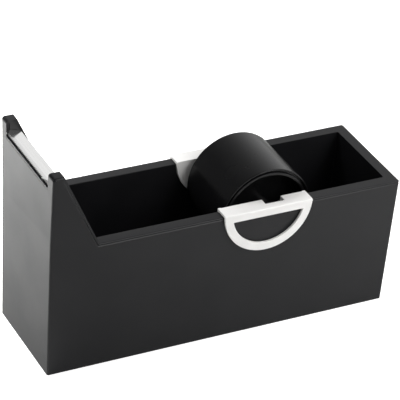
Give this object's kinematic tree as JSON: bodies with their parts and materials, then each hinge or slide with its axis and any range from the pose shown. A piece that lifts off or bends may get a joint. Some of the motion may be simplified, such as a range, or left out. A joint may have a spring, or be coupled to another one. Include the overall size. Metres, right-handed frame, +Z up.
{
  "type": "desktop packing tape dispenser",
  "caption": "Long black tub-shaped desk dispenser for wide tape, with a toothed cutter tower and a reel hung between white clips that carry half-round finger rings.",
  "frame": {"origin": "centre of the footprint, on the desk surface under the feet", "axes": "+X from the cutter tower towards the other end of the tub, +Y across the tub, +Z up"},
  "size_m": [0.296, 0.0952, 0.1753],
  "materials": {
    "black_abs": "moulded, fine satin texture",
    "black_abs_plain": "moulded, plain",
    "white_abs": "moulded, semi-gloss",
    "drum_black": "moulded, satin",
    "black_nylon": "moulded, satin",
    "axle_steel": "drawn bright bar",
    "blade_steel": "bright rolled strip",
    "screw_steel": "zinc plated",
    "ballast_iron": "as cast, painted",
    "foot_foam": "closed-cell pad"
  },
  "bodies": {
    "housing": {"outer_casing": "black_abs", "inner_tray": "black_abs", "base_plate": "black_abs_plain", "cutter_end_ballast": "ballast_iron", "rear_end_ballast": "ballast_iron", "base_screws": "screw_steel", "cutter_end_near_foot": "foot_foam", "cutter_end_far_foot": "foot_foam", "rear_end_near_foot": "foot_foam", "rear_end_far_foot": "foot_foam", "blade_holder": "black_abs_plain", "holder_screws": "screw_steel", "cutter_blade": "blade_steel"},
    "near_clip": {"near_clip": "white_abs"},
    "far_clip": {"far_clip": "white_abs"},
    "axle": {"reel_axle": "axle_steel", "near_journal": "black_nylon", "far_journal": "black_nylon"},
    "drum": {"drum_sleeve": "drum_black", "near_drum_cap": "drum_black", "far_drum_cap": "drum_black"}
  },
  "joints": [
    {"name": "near_clip_lift", "type": "slide", "parent": "housing", "child": "near_clip", "axis": [0, 0, 1], "range_m": [0, 0.042]},
    {"name": "far_clip_lift", "type": "slide", "parent": "housing", "child": "far_clip", "axis": [0, 0, 1], "range_m": [0, 0.042]},
    {"name": "reel_lift", "type": "slide", "parent": "near_clip", "child": "axle", "axis": [0, 0, 1], "range_m": [0, 0.08]},
    {"name": "reel_spin", "type": "hinge", "parent": "axle", "child": "drum", "pos_m": [0.04075, 0, 0.0955], "axis": [0, 1, 0], "continuous": true}
  ],
  "couplings": [
    {"joint": "far_clip_lift", "follows": "near_clip_lift", "ratio": 1}
  ]
}
